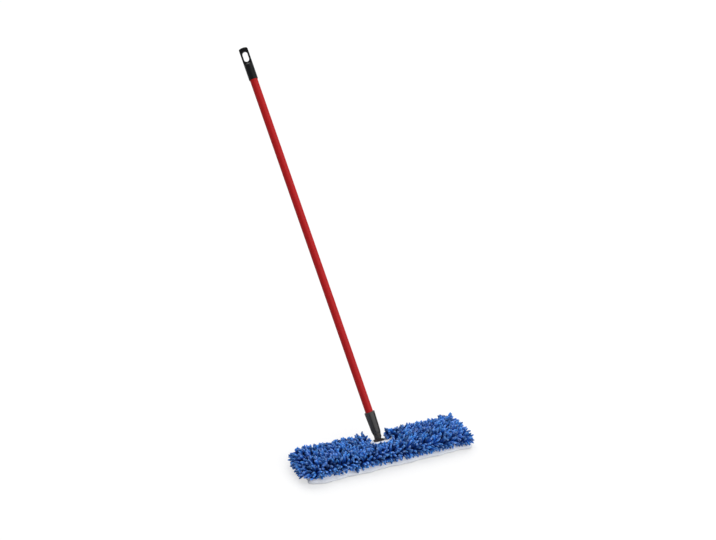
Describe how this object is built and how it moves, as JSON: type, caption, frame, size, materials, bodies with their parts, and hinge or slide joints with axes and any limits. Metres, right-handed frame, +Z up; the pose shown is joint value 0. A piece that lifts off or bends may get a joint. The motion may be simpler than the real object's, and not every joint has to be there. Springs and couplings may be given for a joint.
{
  "type": "microfiber flip mop",
  "caption": "Floor mop with a slim tube handle and a padded two-sided head, chenille fingers on one face and flat cloth on the other, that turns over on an axle.",
  "frame": {"origin": "centre of the head's flat cloth face, on the floor", "axes": "+Z up, +X along the head, +Y towards the head's notched back edge"},
  "size_m": [0.4975, 0.654, 1.0206],
  "materials": {
    "black_cap": "moulded, soft gloss",
    "red_tube": "smooth powder coat",
    "black_plastic": "moulded",
    "grey_socket": "moulded, fine matt grain",
    "brown_tee": "moulded, semi matt",
    "steel": "zinc plated",
    "white_frame": "moulded",
    "foam": "open cell foam",
    "white_cloth": "flat microfibre knit",
    "blue_chenille": "microfibre chenille"
  },
  "bodies": {
    "handle": {"hanger_cap": "black_cap", "handle_tube": "red_tube", "threaded_tip": "black_plastic", "handle_socket": "grey_socket", "swivel_pin": "steel"},
    "tee": {"swivel_tee": "brown_tee"},
    "head": {"flip_axle": "steel", "frame_lower_half": "white_frame", "frame_upper_half": "white_frame", "frame_screws": "steel", "base_foam": "foam", "top_foam": "foam", "base_cloth": "white_cloth", "notch_binding": "white_cloth", "chenille_left": "blue_chenille", "chenille_front": "blue_chenille", "chenille_right": "blue_chenille"}
  },
  "joints": [
    {"name": "side_swivel", "type": "hinge", "parent": "handle", "child": "tee", "pos_m": [0, 0.05477, 0.02885], "axis": [0, 0.887, -0.4617], "range_deg": [-59.2, 40.8]},
    {"name": "head_flip", "type": "hinge", "parent": "tee", "child": "head", "pos_m": [0, 0.046, 0.012], "axis": [1, 0, 0], "range_deg": [-37.5, 182.5]}
  ]
}
